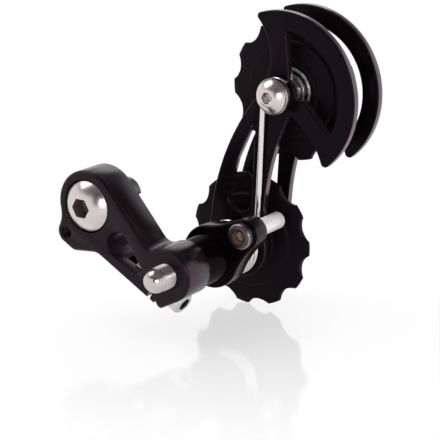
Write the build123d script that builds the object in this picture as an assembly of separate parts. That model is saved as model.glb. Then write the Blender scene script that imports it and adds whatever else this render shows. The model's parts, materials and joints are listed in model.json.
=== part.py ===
"""Chain tensioner for a bicycle, built as separate named pieces.

Millimetres, +Z up, +Y towards the wheel, +X towards the front of the bicycle.
The origin is on the hanger bolt axis, in the plane of the hanger seat.
"""
import math
import os

from build123d import *

# Fits between pieces
running_gap = 0.03
thread_gap = 0.02
seat_gap = 0.01
free_gap = 0.3
cut_over = 1.0

# Bolt heads and thread ends, as shares of their own sizes
dome_rise = 0.33
socket_depth = 0.62
socket_dome = 0.4
thread_chamfer = 0.2

# Layout: shaft from the hanger bolt, upper wheel from the shaft
arm_length = 35.9
arm_angle = -28.6
upper_from_shaft_x = 16.3
upper_from_shaft_z = 52.8

# Bracket arm, sizes along and across the line from bolt to shaft
bracket_thickness = 11.4
hanger_seat_height = 1.6
hanger_seat_radius = 9.5
hanger_boss_radius = 11.6
top_edge_angle = 69.5
clamp_boss_radius = 8.75
clamp_fillet = 4.0
lower_edge = 11.5
foot_near = 0.8
foot_far = -2.8
foot_across = -13.2
foot_radius = 3.9
foot_slope = 35.0
foot_fillet = 5.0
waist_fillet = 9.0
ear_corner_along = 2.2
ear_corner_radius = 1.5
pocket_wide_from_shaft = -19.6
pocket_wide_across = -3.5
pocket_wide_radius = 4.5
pocket_tip_from_shaft = -9.9
pocket_tip_across = -5.6
pocket_tip_radius = 1.8
slit_from_shaft = -2.3
slit_width = 1.4
bracket_chamfer = 0.7

# Hanger bolt
hanger_shank_radius = 5.2
hanger_thread_radius = 5.0
hanger_thread_length = 8.9
hanger_head_radius = 8.4
hanger_head_rim = 3.4
hanger_head_dome = 3.3
hanger_hex = 6.0
counterbore_gap = 0.4
counterbore_depth = 3.7

# Limit screw hole in the foot of the bracket
limit_thread_radius = 2.0

# Pinch screw
pinch_thread_radius = 2.0
pinch_across = -8.25
pinch_setback = 0.6
pinch_seat_from_shaft = 3.6
pinch_length = 17.0
pinch_hole_end = -16.8
pinch_head_radius = 3.9
pinch_head_rim = 2.9
pinch_head_dome = 0.8
pinch_hex = 4.0
pinch_clearance = 0.25

# Pivot shaft
shaft_radius = 4.0
shaft_front_stand_out = 4.9
shaft_tail = 1.3

# Stop arm and its post
stop_arm_from_bracket = 11.5
stop_arm_thickness = 7.0
stop_arm_radius = 10.5
stop_arm_tip_radius = 5.1
stop_arm_flank = 34.0
stop_arm_chamfer = 0.6
stop_hub_radius = 8.0
post_distance = 16.4
post_angle = 36.5
post_radius = 2.8
post_length = 13.8
post_chamfer = 0.5
post_thread_radius = 2.0
post_thread_depth = 8.0
post_thread_spare = 1.0
post_head_radius = 4.2
post_head_rim = 1.9
post_head_dome = 0.7
post_hex = 3.5

# Torsion spring
spring_space = 8.8
wire_radius = 0.95
coil_radius = 8.6
coil_whole_turns = 2
coil_corner_turn = 36.0
arc_share = 0.98
tang_depth = 3.6
tang_bend = 1.4
tang_hole_gap = 0.15
hook_end_angle = 72.0
hook_tail = 2.0

# Cage plates; low points from the shaft axis, high points from the upper axis
plate_thickness = 3.0
plate_gap = 11.9
wheel_from_front_plate = 5.5
plate_chamfer = 0.35
cage_lobe_radius = 11.0
guard_middle_x = 0.05
guard_middle_z = -0.6
guard_radius = 27.0
guard_inner_radius = 21.0
guard_start_angle = 111.5
guard_start_round = 1.2
guard_end_angle = -54.0
guard_end_round = 1.5
arm_back_high = (-8.3, -1.1)
spoke_front_middle = (10.6, -12.2)
arm_notch = (3.3, -6.5)
arm_notch_round = 1.0
arm_front_middle = (12.75, 28.4)
arm_front_low_angle = 22.7
arm_front_low_round = 6.0
window_hub_radius = 5.5
window_back_low = (3.2, 4.4)
window_back_angle = 96.6
window_front_high = (8.8, -1.1)
window_front_angle = -48.0
window_fillet = 1.6
window_hub_fillet = 0.7
slot_low = (0.9, 16.3)
slot_low_radius = 4.7
slot_middle = (2.9, 28.0)
slot_middle_radius = 3.3
slot_high = (-10.3, -12.7)
slot_high_radius = 0.9

# Upper pulley bolt
axle_radius = 4.0
axle_thread_radius = 3.0
axle_head_radius = 5.8
axle_head_rim = 1.6
axle_head_dome = 2.9
axle_hex = 3.5
hook_space = 3.0

# Pulleys
tooth_count = 11
tip_radius = 22.9
valley_radius = 5.4
valley_centre = 26.0
rim_thickness = 2.4
tip_thickness = 1.2
tooth_bevel_start = 20.9
web_radius = 15.6
web_thickness = 4.2
hub_radius = 9.9
hub_thickness = 6.2
step_slope = 0.6
upper_tooth_turn = 4.7
lower_tooth_turn = 56.5

# Ball bearings inside the pulleys
bearing_width = 5.0
outer_race_inner_radius = 6.8
outer_race_wall = 1.2
inner_race_outer_radius = 5.2
ball_radius = 1.2
ball_count = 11
shield_thickness = 0.3
shield_recess = 0.35
spacer_radius = 5.0

# Bushes, sleeve and the fixing at the end of the shaft
bush_radius = 5.5
bush_flange_radius = 6.8
bush_flange_thickness = 1.0
sleeve_radius = 7.3
rear_washer_radius = 7.0
rear_washer_thickness = 1.2
rear_thread_radius = 2.5
rear_thread_length = 12.0
rear_thread_spare = 2.0
rear_head_radius = 4.75
rear_head_rim = 0.9
rear_head_dome = 1.8
rear_hex = 3.0

# Places worked out from the sizes above
bracket_back = -hanger_seat_height
bracket_front = bracket_back - bracket_thickness
bracket_middle = (bracket_back + bracket_front) / 2
shaft_x = arm_length * math.cos(math.radians(arm_angle))
shaft_z = arm_length * math.sin(math.radians(arm_angle))
upper_x = shaft_x + upper_from_shaft_x
upper_z = shaft_z + upper_from_shaft_z
stop_arm_front = bracket_back + stop_arm_from_bracket
stop_arm_back = stop_arm_front + stop_arm_thickness
stop_arm_middle = (stop_arm_front + stop_arm_back) / 2
stop_hub_front = bracket_back + free_gap
post_x = shaft_x + post_distance * math.cos(math.radians(post_angle))
post_z = shaft_z + post_distance * math.sin(math.radians(post_angle))
front_plate_start = stop_arm_back + spring_space
front_plate_end = front_plate_start + plate_thickness
rear_plate_start = front_plate_end + plate_gap
rear_plate_end = rear_plate_start + plate_thickness
wheel_middle = front_plate_end + wheel_from_front_plate
bearing_outer_radius = outer_race_inner_radius + outer_race_wall
bearing_start = wheel_middle - bearing_width / 2
bearing_end = wheel_middle + bearing_width / 2
hook_middle = front_plate_start - hook_space / 2
axle_head_seat = front_plate_start - hook_space
shaft_end = rear_plate_end + shaft_tail


def along(sketch, start, length):
    """Solid made from a sketch in X and Z, from Y = start over a length."""
    return extrude(Plane.XZ.offset(-start) * sketch, amount=length, dir=(0, 1, 0))


def rod(x, z, start, end, radius):
    """Round rod along Y."""
    return along(Pos(x, z) * Circle(radius), start, end - start)


def ring(x, z, start, end, outer, inner):
    """Round ring along Y."""
    return along(Pos(x, z) * (Circle(outer) - Circle(inner)), start, end - start)


def turned(edges, x, z):
    """Solid turned about an axis along Y; edges use radius and Y."""
    return Pos(x, 0, z) * revolve(make_face(edges), Axis.Y)


def turned_outline(points, x, z):
    """Solid turned from straight lines through points of radius and Y."""
    return turned(Polyline(*points, close=True), x, z)


def hex_bolt(head_radius, rim, dome, flat, hex_width, steps, seat):
    """Bolt along +Y with its head on Y = seat; steps hold shank radius and end."""
    top = seat - rim - dome
    edge = seat - rim
    flat_radius = head_radius * flat
    bend = (flat_radius + head_radius) / 2
    points = [(head_radius, edge), (head_radius, seat)]
    start = seat
    for radius, end in steps:
        points.append((radius, start))
        points.append((radius, end))
        start = end
    last_radius = steps[-1][0]
    points[-1] = (last_radius, start - last_radius * thread_chamfer)
    points.append((last_radius * (1 - thread_chamfer), start))
    points.append((0, start))
    points.append((0, top))
    points.append((flat_radius, top))
    curve = ThreePointArc((flat_radius, top), (bend, top + dome * dome_rise), (head_radius, edge))
    body = turned([*Polyline(*points).edges(), curve], 0, 0)
    socket = RegularPolygon(hex_width / 2, 6, major_radius=False)
    depth = hex_width * socket_depth + dome * socket_dome
    return body - along(socket, top - cut_over, cut_over + depth)


def round_points(radius, count, turn):
    """Places on a circle, turned clockwise from +Z as seen along +Y."""
    for index in range(count):
        angle = math.radians(90 - turn - index * 360 / count)
        yield radius * math.cos(angle), radius * math.sin(angle)


def save(solid, node):
    """Write one node."""
    export_step(solid, f"parts/{node}.step")


os.makedirs("parts", exist_ok=True)


# Bracket arm
def arm_plane(along_arm, across_arm, depth):
    """Plane on the bracket whose local Y runs back along the arm."""
    cosine = math.cos(math.radians(arm_angle))
    sine = math.sin(math.radians(arm_angle))
    place_x = along_arm * cosine - across_arm * sine
    place_z = along_arm * sine + across_arm * cosine
    return Plane(origin=(place_x, depth, place_z), x_dir=(sine, 0, -cosine), z_dir=(0, 1, 0))


def bracket_outline():
    """Front outline of the arm; x along the arm from the bolt, y across it."""
    angle = math.radians(top_edge_angle)
    slope = math.radians(foot_slope)
    top_start = (hanger_boss_radius * math.cos(angle), hanger_boss_radius * math.sin(angle))
    reach = (arm_length - top_start[0]) * math.sin(angle) + top_start[1] * math.cos(angle)
    top_end = (top_start[0] + reach * math.sin(angle), top_start[1] - reach * math.cos(angle))
    slope_low = (foot_near + foot_radius * math.sin(slope), foot_across - foot_radius * math.cos(slope))
    slope_high = (slope_low[0] + (-lower_edge - slope_low[1]) / math.tan(slope), -lower_edge)
    core = Polyline(
        (0, 0),
        top_start,
        top_end,
        (arm_length, -lower_edge),
        slope_high,
        slope_low,
        (foot_near, foot_across - foot_radius),
        (foot_far, foot_across - foot_radius),
        (foot_far, foot_across),
        close=True,
    )
    clamp = Pos(arm_length, 0) * Circle(clamp_boss_radius)
    ear = Pos(arm_length + ear_corner_along, ear_corner_radius - lower_edge) * Circle(ear_corner_radius)
    outline = make_face(core) + Circle(hanger_boss_radius) + make_hull([*clamp.edges(), *ear.edges()])
    outline += Pos(foot_near, foot_across) * Circle(foot_radius)
    outline += Pos(foot_far, foot_across) * Circle(foot_radius)
    clamp_meet = (arm_length - clamp_boss_radius * 0.97, clamp_boss_radius * 0.25)
    waist_meet = (foot_far - foot_radius, foot_across + foot_radius * 0.7)
    for place, radius in ((clamp_meet, clamp_fillet), (slope_high, foot_fillet), (waist_meet, waist_fillet)):
        outline = fillet(outline.vertices().sort_by_distance((*place, 0))[0], radius)
    return outline


def bracket_arm():
    """Alloy arm that holds the shaft on the hanger."""
    turn = Rot(0, 0, arm_angle)
    body = along(turn * bracket_outline(), bracket_front, bracket_thickness)
    body = chamfer(body.faces().sort_by(Axis.Y)[0].outer_wire().edges(), bracket_chamfer)
    body += rod(0, 0, bracket_back, 0, hanger_seat_radius)
    body -= rod(0, 0, bracket_front - cut_over, cut_over, hanger_shank_radius + running_gap)
    counterbore = hanger_head_radius + counterbore_gap
    body -= rod(0, 0, bracket_front - cut_over, bracket_front + counterbore_depth, counterbore)
    wide = Pos(arm_length + pocket_wide_from_shaft, pocket_wide_across) * Circle(pocket_wide_radius)
    tip = Pos(arm_length + pocket_tip_from_shaft, pocket_tip_across) * Circle(pocket_tip_radius)
    pocket = make_hull([*wide.edges(), *tip.edges()])
    body -= along(turn * pocket, bracket_front - cut_over, bracket_thickness + cut_over * 2)
    limit = Pos(foot_far, foot_across) * Circle(limit_thread_radius)
    body -= along(turn * limit, bracket_front - cut_over, bracket_thickness + cut_over * 2)
    body -= rod(shaft_x, shaft_z, bracket_front - cut_over, cut_over, shaft_radius + running_gap)
    slit_middle = arm_length + slit_from_shaft
    slit_height = lower_edge + cut_over
    slit = Pos(slit_middle, -slit_height / 2) * Rectangle(slit_width, slit_height)
    body -= along(turn * slit, bracket_front - cut_over, bracket_thickness + cut_over * 2)
    depth = bracket_middle + pinch_setback
    tapped = arm_plane(slit_middle, pinch_across, depth)
    body -= tapped * rod(0, 0, 0, slit_from_shaft - pinch_hole_end, pinch_thread_radius + thread_gap)
    seat = arm_plane(arm_length + pinch_seat_from_shaft, pinch_across, depth)
    jaw = pinch_seat_from_shaft - slit_from_shaft
    body -= seat * rod(0, 0, -cut_over, jaw, pinch_thread_radius + pinch_clearance)
    body -= seat * rod(0, 0, -clamp_boss_radius, 0, pinch_head_radius + free_gap)
    return body


def pinch_screw():
    """Screw that closes the slit, its head low and to the front."""
    steps = [(pinch_thread_radius, pinch_length)]
    screw = hex_bolt(pinch_head_radius, pinch_head_rim, pinch_head_dome, 0.8, pinch_hex, steps, 0)
    place = arm_plane(arm_length + pinch_seat_from_shaft, pinch_across, bracket_middle + pinch_setback)
    return place * screw


def hanger_bolt():
    """Bolt that fixes the bracket to the hanger of the frame."""
    seat = bracket_front + counterbore_depth
    steps = [(hanger_shank_radius, 0), (hanger_thread_radius, hanger_thread_length)]
    return hex_bolt(hanger_head_radius, hanger_head_rim, hanger_head_dome, 0.4, hanger_hex, steps, seat)


save(bracket_arm(), "bracket_arm")
save(hanger_bolt(), "hanger_bolt")
save(pinch_screw(), "pinch_screw")


# Shaft and its end fixing
def pivot_shaft():
    """Round shaft with a ball end in front and a tapped hole behind."""
    ball_middle = bracket_front - shaft_front_stand_out
    side = math.sqrt(0.5) * shaft_radius
    points = [(shaft_radius, ball_middle), (shaft_radius, shaft_end), (0, shaft_end)]
    points.append((0, ball_middle - shaft_radius))
    ball = ThreePointArc(points[-1], (side, ball_middle - side), points[0])
    body = turned([*Polyline(*points).edges(), ball], shaft_x, shaft_z)
    hole_start = shaft_end - rear_thread_length
    return body - rod(shaft_x, shaft_z, hole_start, shaft_end + cut_over, rear_thread_radius + thread_gap)


def rear_screw():
    """Screw at the wheel side end of the shaft."""
    seat = shaft_end + rear_washer_thickness
    length = rear_washer_thickness + rear_thread_length - rear_thread_spare
    steps = [(rear_thread_radius, length - seat)]
    screw = hex_bolt(rear_head_radius, rear_head_rim, rear_head_dome, 0.45, rear_hex, steps, -seat)
    return Pos(shaft_x, 0, shaft_z) * Rot(0, 0, 180) * screw


rear_washer = ring(
    shaft_x,
    shaft_z,
    shaft_end,
    shaft_end + rear_washer_thickness,
    rear_washer_radius,
    rear_thread_radius + running_gap,
)
save(pivot_shaft(), "pivot_shaft")
save(rear_screw(), "rear_screw")
save(rear_washer, "rear_washer")


# Stop arm and post
def stop_arm_outline():
    """Two round lobes joined by hollow flanks; x along the arm."""
    big = stop_arm_radius + stop_arm_flank
    small = stop_arm_tip_radius + stop_arm_flank
    middle_x = (big**2 - small**2 + post_distance**2) / (2 * post_distance)
    middle_y = math.sqrt(big**2 - middle_x**2)
    big_part = stop_arm_radius / big
    small_part = stop_arm_tip_radius / small
    big_touch = (middle_x * big_part, middle_y * big_part)
    small_touch = (post_distance + (middle_x - post_distance) * small_part, middle_y * small_part)
    web = make_face(
        Polyline(
            (0, 0),
            big_touch,
            small_touch,
            (post_distance, 0),
            (small_touch[0], -small_touch[1]),
            (big_touch[0], -big_touch[1]),
            close=True,
        )
    )
    for side in (1, -1):
        web -= Pos(middle_x, side * middle_y) * Circle(stop_arm_flank)
    return web + Circle(stop_arm_radius) + Pos(post_distance, 0) * Circle(stop_arm_tip_radius)


def spring_start():
    """Place of the tang, one bend before the coil starts on the line from shaft to post."""
    angle = math.radians(post_angle)
    place_x = shaft_x + coil_radius * math.cos(angle) + tang_bend * math.sin(angle)
    return place_x, shaft_z + coil_radius * math.sin(angle) - tang_bend * math.cos(angle)


def stop_arm():
    """Arm with a hub on the shaft; it carries the post and the short spring leg."""
    outline = Pos(shaft_x, shaft_z) * Rot(0, 0, post_angle) * stop_arm_outline()
    body = along(outline, stop_arm_front, stop_arm_thickness)
    ends = body.faces().sort_by(Axis.Y)
    body = chamfer([*ends[0].edges(), *ends[-1].edges()], stop_arm_chamfer)
    hub = rod(shaft_x, shaft_z, stop_hub_front, stop_arm_middle, stop_hub_radius)
    body += chamfer(hub.faces().sort_by(Axis.Y)[0].edges(), stop_arm_chamfer)
    cut_start = stop_hub_front - cut_over
    cut_end = stop_arm_back + cut_over
    body -= rod(shaft_x, shaft_z, cut_start, cut_end, shaft_radius + running_gap)
    body -= rod(post_x, post_z, cut_start, cut_end, post_thread_radius + running_gap)
    tang_x, tang_z = spring_start()
    hole = wire_radius + tang_hole_gap
    hole_start = stop_arm_back - tang_depth - tang_hole_gap
    return body - rod(tang_x, tang_z, hole_start, cut_end, hole)


def stop_post():
    """Round post behind the arm, tapped for its bolt."""
    end = stop_arm_back + post_length
    points = [
        (0, stop_arm_back),
        (post_radius, stop_arm_back),
        (post_radius, end - post_chamfer),
        (post_radius - post_chamfer, end),
        (0, end),
    ]
    body = turned_outline(points, post_x, post_z)
    depth = stop_arm_back + post_thread_depth
    return body - rod(post_x, post_z, stop_arm_back - cut_over, depth, post_thread_radius + thread_gap)


def stop_post_bolt():
    """Bolt through the arm into the post."""
    steps = [(post_thread_radius, stop_arm_back + post_thread_depth - post_thread_spare)]
    bolt = hex_bolt(post_head_radius, post_head_rim, post_head_dome, 0.8, post_hex, steps, stop_arm_front)
    return Pos(post_x, 0, post_z) * bolt


save(stop_arm(), "stop_arm")
save(stop_post(), "stop_post")
save(stop_post_bolt(), "stop_post_bolt")


# Torsion spring, the coil and both legs in one wire
def ring_place(x, z, radius, angle, depth):
    """Place at an angle on a circle about an axis along Y."""
    turn = math.radians(angle)
    return x + radius * math.cos(turn), depth, z + radius * math.sin(turn)


def torsion_spring():
    """Tang in the stop arm, coil round the shaft, leg hooked over the upper bolt."""
    distance = math.hypot(upper_from_shaft_x, upper_from_shaft_z)
    hook_radius = axle_radius + running_gap + wire_radius
    lean = math.degrees(math.asin((coil_radius + hook_radius) / distance))
    leg_angle = math.degrees(math.atan2(upper_from_shaft_z, upper_from_shaft_x)) + lean
    coil_turn = coil_whole_turns * 360 + leg_angle + 270 - post_angle
    corner_count = round(coil_turn / coil_corner_turn)
    step = coil_turn / corner_count
    coil_start = stop_arm_back + free_gap + wire_radius
    rise = (hook_middle - coil_start) / (corner_count - 0.5)
    tang_x, tang_z = spring_start()
    points = [(tang_x, stop_arm_back - tang_depth, tang_z), (tang_x, coil_start, tang_z)]
    radii = [tang_bend]
    coil_corner = coil_radius / math.cos(math.radians(step / 2))
    for index in range(corner_count):
        part = index + 0.5
        angle = post_angle + step * part
        points.append(ring_place(shaft_x, shaft_z, coil_corner, angle, coil_start + rise * part))
        radii.append(coil_radius * arc_share)
    hook_turn = leg_angle + 90 - hook_end_angle
    hook_corner = hook_radius / math.cos(math.radians(hook_turn / 4))
    for part in (0.25, 0.75):
        angle = leg_angle + 90 - hook_turn * part
        points.append(ring_place(upper_x, upper_z, hook_corner, angle, hook_middle))
        radii.append(hook_radius * arc_share)
    hook_end = Vector(*ring_place(upper_x, upper_z, hook_radius, hook_end_angle, hook_middle))
    points.append(hook_end + (hook_end - Vector(*points[-1])).normalized() * hook_tail)
    path = FilletPolyline(*points, radius=radii)
    return sweep(Plane(origin=path @ 0, z_dir=path % 0) * Circle(wire_radius), path=path)


save(torsion_spring(), "torsion_spring")
bush_front = front_plate_start - bush_flange_thickness
spring_sleeve = ring(
    shaft_x,
    shaft_z,
    stop_arm_back,
    bush_front - free_gap,
    sleeve_radius,
    shaft_radius + running_gap,
)
save(spring_sleeve, "spring_sleeve")


# Cage plates
def from_upper(point):
    """Place given from the upper axis, turned into one from the shaft axis."""
    return upper_from_shaft_x + point[0], upper_from_shaft_z + point[1]


def guard_point(angle):
    """Place on the rim of the guard, from the shaft axis."""
    turn = math.radians(angle)
    middle_x, middle_z = from_upper((guard_middle_x, guard_middle_z))
    return middle_x + guard_radius * math.cos(turn), middle_z + guard_radius * math.sin(turn)


def cage_outline():
    """Outline of a cage plate with its window and slot, from the shaft axis."""
    guard_start = guard_point(guard_start_angle)
    guard_middle = guard_point((guard_start_angle + guard_end_angle) / 2)
    guard_end = guard_point(guard_end_angle)
    notch = from_upper(arm_notch)
    back_high = from_upper(arm_back_high)
    low_angle = math.radians(arm_front_low_angle)
    arm_front_low = (cage_lobe_radius * math.cos(low_angle), cage_lobe_radius * math.sin(low_angle))
    arm_back_low = (-cage_lobe_radius, 0)
    arm_back = TangentArc(arm_back_low, back_high, tangent=(0, 1))
    spoke_back = TangentArc(back_high, guard_start, tangent=arm_back % 1)
    edges = [
        arm_back,
        spoke_back,
        ThreePointArc(guard_start, guard_middle, guard_end),
        ThreePointArc(guard_end, from_upper(spoke_front_middle), notch),
        ThreePointArc(notch, arm_front_middle, arm_front_low),
        ThreePointArc(arm_front_low, (0, -cage_lobe_radius), arm_back_low),
    ]
    outline = make_face(edges)
    corners = [
        (guard_start, guard_start_round),
        (guard_end, guard_end_round),
        (notch, arm_notch_round),
        (arm_front_low, arm_front_low_round),
    ]
    for place, radius in corners:
        outline = fillet(outline.vertices().sort_by_distance((*place, 0))[0], radius)
    return outline - cage_window() - cage_slot()


def cage_window():
    """Fan-shaped window between the two spokes and the hub round the bolt."""
    reach = guard_radius * 2
    back = math.radians(window_back_angle)
    front = math.radians(window_front_angle)
    hub_end = (math.sqrt(window_hub_radius**2 - window_front_high[1] ** 2), window_front_high[1])
    corners = [
        window_back_low,
        (window_back_low[0] + reach * math.cos(back), window_back_low[1] + reach * math.sin(back)),
        (reach, reach),
        (reach, 0),
        (window_front_high[0] + reach * math.cos(front), window_front_high[1] + reach * math.sin(front)),
        window_front_high,
        hub_end,
    ]
    fan = make_face(Polyline(*corners, close=True)) - Circle(window_hub_radius)
    fan = fan & Pos(guard_middle_x, guard_middle_z) * Circle(guard_inner_radius)
    by_reach = fan.vertices().sort_by_distance((0, 0, 0))
    fan = fillet(by_reach[-2:], window_fillet)
    by_reach = fan.vertices().sort_by_distance((0, 0, 0))
    return Pos(*from_upper((0, 0))) * fillet(by_reach[:3], window_hub_fillet)


def cage_slot():
    """Teardrop slot in the arm."""
    low = Pos(*slot_low) * Circle(slot_low_radius)
    middle = Pos(*slot_middle) * Circle(slot_middle_radius)
    high = Pos(*from_upper(slot_high)) * Circle(slot_high_radius)
    return make_hull([*low.edges(), *middle.edges(), *high.edges()])


def cage_plate(start, upper_hole):
    """Cage plate with a bush hole at the shaft and a hole at the upper axis."""
    body = along(Pos(shaft_x, shaft_z) * cage_outline(), start, plate_thickness)
    ends = body.faces().sort_by(Axis.Y)
    body = chamfer([*ends[0].edges(), *ends[-1].edges()], plate_chamfer)
    cut_start = start - cut_over
    cut_end = start + plate_thickness + cut_over
    body -= rod(shaft_x, shaft_z, cut_start, cut_end, bush_radius + seat_gap)
    return body - rod(upper_x, upper_z, cut_start, cut_end, upper_hole)


def plate_bush(inner_face, outer_face, flange_face):
    """Flanged plain bush in a cage plate."""
    bore = shaft_radius + running_gap
    low = min(inner_face, outer_face)
    high = max(inner_face, outer_face)
    body = ring(shaft_x, shaft_z, low, high, bush_radius, bore)
    flange_low = min(outer_face, flange_face)
    flange_high = max(outer_face, flange_face)
    return body + ring(shaft_x, shaft_z, flange_low, flange_high, bush_flange_radius, bore)


def upper_pulley_bolt():
    """Shoulder bolt that is the axle of the upper pulley."""
    steps = [(axle_radius, rear_plate_start), (axle_thread_radius, rear_plate_end)]
    bolt = hex_bolt(axle_head_radius, axle_head_rim, axle_head_dome, 0.42, axle_hex, steps, axle_head_seat)
    return Pos(upper_x, 0, upper_z) * bolt


save(cage_plate(front_plate_start, axle_radius + seat_gap), "cage_front_plate")
save(cage_plate(rear_plate_start, axle_thread_radius + thread_gap), "cage_rear_plate")
save(plate_bush(front_plate_end, front_plate_start, bush_front), "front_bush")
rear_flange = rear_plate_end + bush_flange_thickness
save(plate_bush(rear_plate_start, rear_plate_end, rear_flange), "rear_bush")
save(upper_pulley_bolt(), "upper_pulley_bolt")


# Pulleys and bearings
def pulley(x, z, turn):
    """Toothed wheel with a stepped web and a bearing seat."""
    half = []
    half.append((bearing_outer_radius + seat_gap, hub_thickness / 2))
    half.append((hub_radius, hub_thickness / 2))
    half.append((hub_radius + step_slope, web_thickness / 2))
    half.append((web_radius, web_thickness / 2))
    half.append((web_radius + step_slope, rim_thickness / 2))
    half.append((tooth_bevel_start, rim_thickness / 2))
    half.append((tip_radius, tip_thickness / 2))
    points = [(radius, wheel_middle + side) for radius, side in half]
    points += [(radius, wheel_middle - side) for radius, side in reversed(half)]
    body = turned_outline(points, x, z)
    gap_turn = turn + 180 / tooth_count
    start = wheel_middle - hub_thickness
    end = wheel_middle + hub_thickness
    for valley_x, valley_z in round_points(valley_centre, tooth_count, gap_turn):
        body -= rod(x + valley_x, z + valley_z, start, end, valley_radius)
    return body


def race_groove(x, z):
    """Ring of round section that clears the balls."""
    pitch = (outer_race_inner_radius + inner_race_outer_radius) / 2
    section = Pos(pitch, wheel_middle) * Circle(ball_radius + thread_gap)
    return Pos(x, 0, z) * revolve(section, Axis.Y)


def bearing(x, z, name):
    """Save the races, balls and shields of one bearing."""
    groove = race_groove(x, z)
    outer = ring(x, z, bearing_start, bearing_end, bearing_outer_radius, outer_race_inner_radius) - groove
    inner = ring(x, z, bearing_start, bearing_end, inner_race_outer_radius, shaft_radius + seat_gap) - groove
    pitch = (outer_race_inner_radius + inner_race_outer_radius) / 2
    balls = []
    for ball_x, ball_z in round_points(pitch, ball_count, 0):
        balls.append(Pos(x + ball_x, wheel_middle, z + ball_z) * Sphere(ball_radius))
    shields = []
    for start in (bearing_start + shield_recess, bearing_end - shield_recess - shield_thickness):
        shield_inner = inner_race_outer_radius + free_gap
        shields.append(ring(x, z, start, start + shield_thickness, outer_race_inner_radius, shield_inner))
    save(outer, f"{name}_bearing_outer_race")
    save(inner, f"{name}_bearing_inner_race")
    save(Compound(children=balls), f"{name}_bearing_balls")
    save(Compound(children=shields), f"{name}_bearing_shields")


save(pulley(upper_x, upper_z, upper_tooth_turn), "upper_pulley")
save(pulley(shaft_x, shaft_z, lower_tooth_turn), "lower_pulley")
bearing(upper_x, upper_z, "upper")
bearing(shaft_x, shaft_z, "lower")

# Spacer rings; the upper ones are clamped, the lower ones turn with free ends
def spacers(x, z, pin_radius, end_gap, name):
    """Save the ring on each side of one bearing."""
    bore = pin_radius + running_gap
    front_start = front_plate_end + end_gap
    rear_end = rear_plate_start - end_gap
    save(ring(x, z, front_start, bearing_start, spacer_radius, bore), f"{name}_front_spacer")
    save(ring(x, z, bearing_end, rear_end, spacer_radius, bore), f"{name}_rear_spacer")


spacers(upper_x, upper_z, axle_radius, 0, "upper")
spacers(shaft_x, shaft_z, shaft_radius, free_gap, "lower")
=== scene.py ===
"""Looks of a sprung bicycle chain tensioner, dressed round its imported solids.

Metres, +Z up, +Y towards the wheel, +X towards the front of the bicycle.
"""

import json
import logging
import math
from collections.abc import Callable, Iterator
from contextlib import contextmanager
from dataclasses import dataclass, field, replace
from enum import Enum
from typing import Any

import bpy
from bpy.types import Material, MeshPolygon, Node, NodeSocket, NodeTree, Object, World
from mathutils import Euler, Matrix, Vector


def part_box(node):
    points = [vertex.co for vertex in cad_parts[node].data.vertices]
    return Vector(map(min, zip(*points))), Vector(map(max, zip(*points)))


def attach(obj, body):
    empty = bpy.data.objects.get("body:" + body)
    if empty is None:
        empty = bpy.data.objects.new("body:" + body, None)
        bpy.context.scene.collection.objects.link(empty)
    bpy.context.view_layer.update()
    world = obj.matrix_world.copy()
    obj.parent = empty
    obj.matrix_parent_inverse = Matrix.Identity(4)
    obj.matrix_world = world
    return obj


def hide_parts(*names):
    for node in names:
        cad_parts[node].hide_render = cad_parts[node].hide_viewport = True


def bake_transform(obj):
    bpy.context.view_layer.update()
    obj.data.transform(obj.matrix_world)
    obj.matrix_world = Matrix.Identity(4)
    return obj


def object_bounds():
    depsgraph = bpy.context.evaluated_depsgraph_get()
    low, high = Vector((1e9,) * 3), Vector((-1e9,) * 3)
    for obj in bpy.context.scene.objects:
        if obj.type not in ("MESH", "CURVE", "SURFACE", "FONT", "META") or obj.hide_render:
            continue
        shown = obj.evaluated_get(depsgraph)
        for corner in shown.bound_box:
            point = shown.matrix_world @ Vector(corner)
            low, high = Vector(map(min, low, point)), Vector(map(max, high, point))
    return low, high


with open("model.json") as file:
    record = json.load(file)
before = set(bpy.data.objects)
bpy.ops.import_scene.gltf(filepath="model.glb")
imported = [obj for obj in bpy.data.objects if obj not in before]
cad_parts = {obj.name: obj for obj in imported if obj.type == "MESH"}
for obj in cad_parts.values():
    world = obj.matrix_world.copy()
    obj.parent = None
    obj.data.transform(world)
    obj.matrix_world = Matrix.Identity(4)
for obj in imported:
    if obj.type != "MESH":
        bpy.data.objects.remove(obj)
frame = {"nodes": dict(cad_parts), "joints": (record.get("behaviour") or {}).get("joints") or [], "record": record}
cad_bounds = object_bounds()
log = logging.getLogger("chain_tensioner")

MM = 0.001
QUARTER = math.pi / 2
WHITE = "ffffff"
# Direction that the sockets on the front of the part open in
FRONT = Vector((0, -1, 0))
# Distance within which vertices count as one
WELD = MM * 0.001
# Radians that a wave texture runs through in one unit of its scaled length
WAVE_RADIANS = 20.0
# What feeds an input of a node: the first output of another node, or a socket
Source = Node | NodeSocket


def linear(code: str) -> tuple[float, float, float, float]:
    """Turn an sRGB hex colour into linear light.

    Args:
        code: Six hex digits.

    Returns:
        Red, green, blue and an alpha of one.
    """
    parts = [int(code[index:index + 2], 16) / 255 for index in (0, 2, 4)]
    red, green, blue = (p / 12.92 if p <= 0.04045 else ((p + 0.055) / 1.055) ** 2.4 for p in parts)
    return red, green, blue, 1.0


def bare_tree(owner: Material | World) -> NodeTree:
    """Give a material or a world an empty node tree.

    Args:
        owner: The material or the world.

    Returns:
        Its node tree.
    """
    owner.use_nodes = True
    owner.node_tree.nodes.clear()
    return owner.node_tree


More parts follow.
